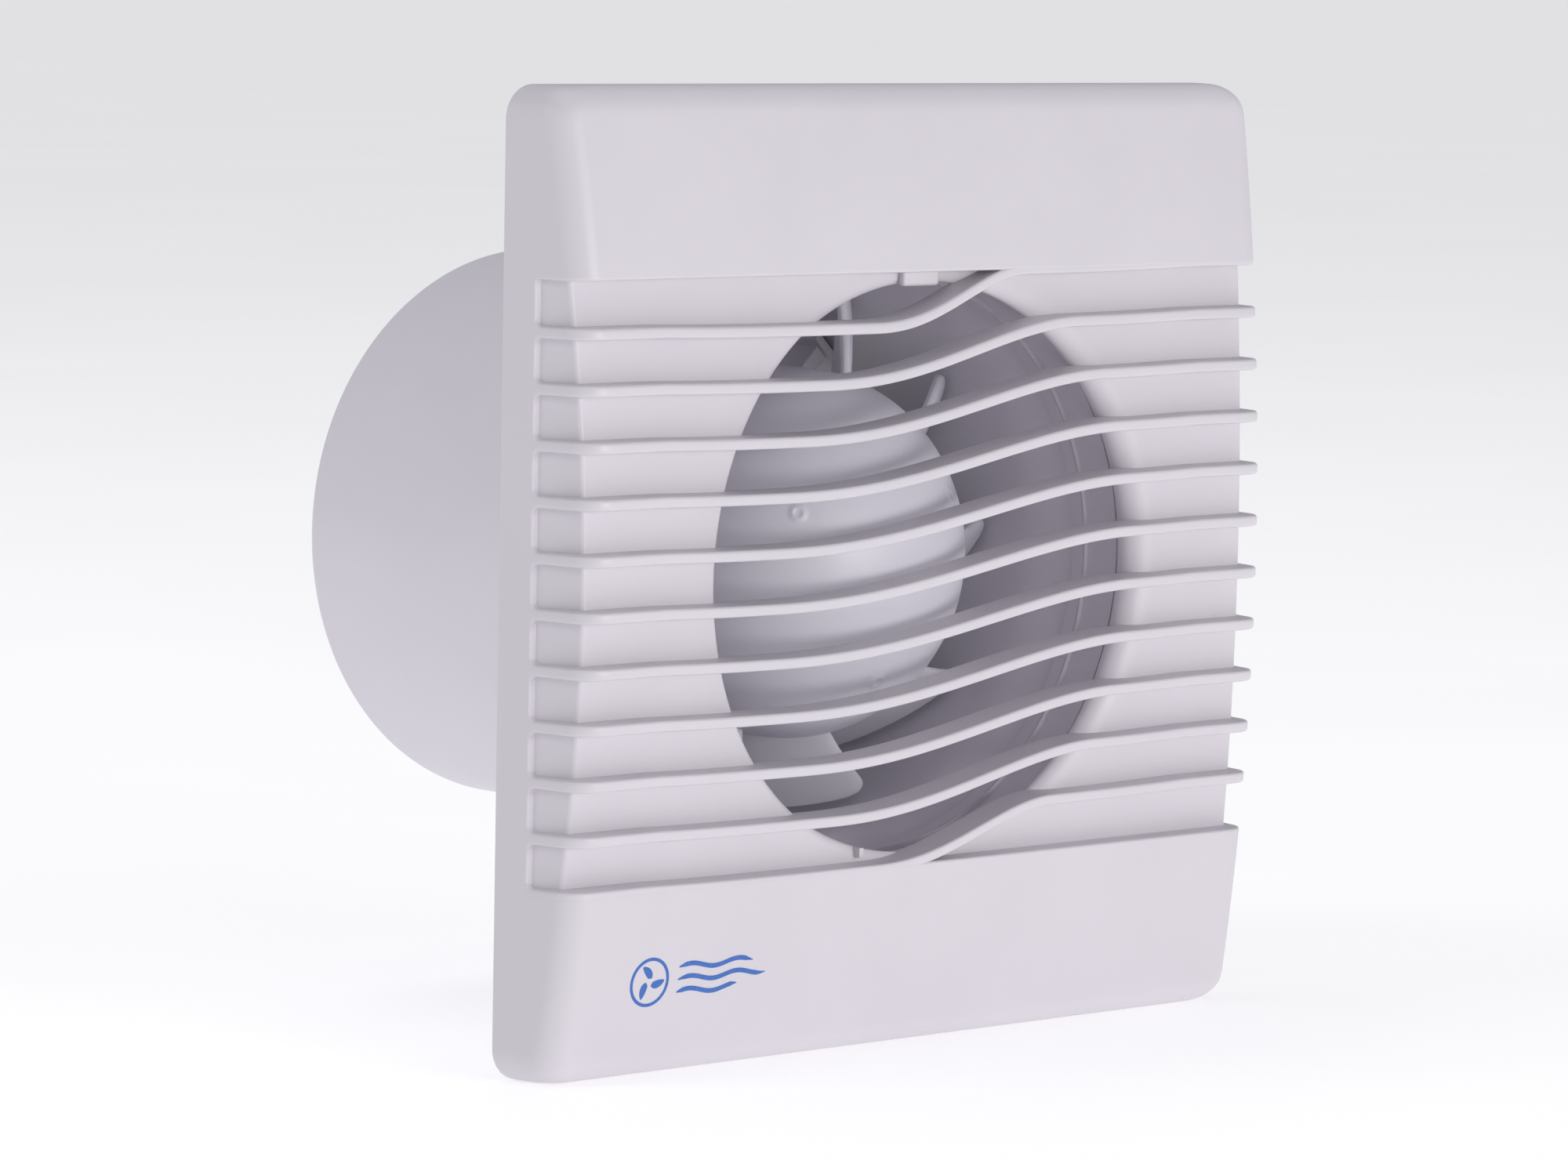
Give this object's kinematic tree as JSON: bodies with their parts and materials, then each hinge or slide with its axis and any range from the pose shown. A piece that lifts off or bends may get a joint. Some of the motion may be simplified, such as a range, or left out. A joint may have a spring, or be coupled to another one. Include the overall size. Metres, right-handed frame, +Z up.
{
  "type": "bathroom extractor fan",
  "caption": "Wall-mounted axial extractor fan with a square clip-on cover, wavy intake ribs, domed impeller, shaded-pole motor and a round duct spigot.",
  "frame": {"origin": "on the duct axis, in the wall plane that the back of the wall plate rests on", "axes": "+Y along the duct axis into the wall, away from the room; +Z up; +X to the right of someone facing the fan's front"},
  "size_m": [0.16, 0.1081, 0.16],
  "materials": {
    "cover_plastic": "glossy white ABS",
    "housing_plastic": "satin white ABS",
    "impeller_plastic": "fine satin white ABS",
    "steel": "zinc-plated steel",
    "lamination": "varnished electrical steel laminations",
    "aluminium": "die-cast and turned aluminium",
    "copper": "enamelled copper",
    "sintered_bronze": "oil-soaked sintered bronze",
    "brass": "bright brass",
    "nylon": "natural nylon",
    "black_rubber": "black rubber",
    "grey_rubber": "grey rubber",
    "brown_wire": "brown PVC insulation",
    "blue_wire": "blue PVC insulation"
  },
  "bodies": {
    "housing": {"housing": "housing_plastic", "duct_sleeve": "housing_plastic", "motor_carrier": "housing_plastic", "stator_stack": "lamination", "shading_ring_left": "copper", "shading_ring_right": "copper", "coil_bobbin": "nylon", "coil_winding": "copper", "thermal_fuse": "nylon", "bearing_bracket_front": "steel", "bearing_bracket_rear": "steel", "bearing_front": "sintered_bronze", "bearing_rear": "sintered_bronze", "bearing_retainer_front": "steel", "bearing_retainer_rear": "steel", "bolt_spacer_left_front": "aluminium", "bolt_spacer_left_rear": "aluminium", "bolt_spacer_right_front": "aluminium", "bolt_spacer_right_rear": "aluminium", "motor_bolt_left": "steel", "motor_bolt_right": "steel", "motor_nut_left": "steel", "motor_nut_right": "steel", "rubber_washer_left": "black_rubber", "rubber_washer_right": "black_rubber", "motor_lead_live": "brown_wire", "motor_lead_neutral": "blue_wire", "terminal_block": "nylon", "terminal_clamp_live": "brass", "terminal_clamp_neutral": "brass", "terminal_screw_live": "steel", "terminal_screw_neutral": "steel", "terminal_block_screw": "steel", "cable_grommet": "grey_rubber"},
    "rotor": {"impeller": "impeller_plastic", "hub_spring_ring": "steel", "motor_shaft": "steel", "rotor_core": "lamination", "rotor_end_ring_front": "aluminium", "rotor_end_ring_rear": "aluminium"},
    "cover": {"front_cover": "cover_plastic"}
  },
  "joints": [
    {"name": "impeller_spin", "type": "hinge", "parent": "housing", "child": "rotor", "pos_m": [0, 0, 0], "axis": [0, 1, 0], "continuous": true},
    {"name": "cover_pull", "type": "slide", "parent": "housing", "child": "cover", "axis": [0, -1, 0], "range_m": [0, 0.06]}
  ]
}
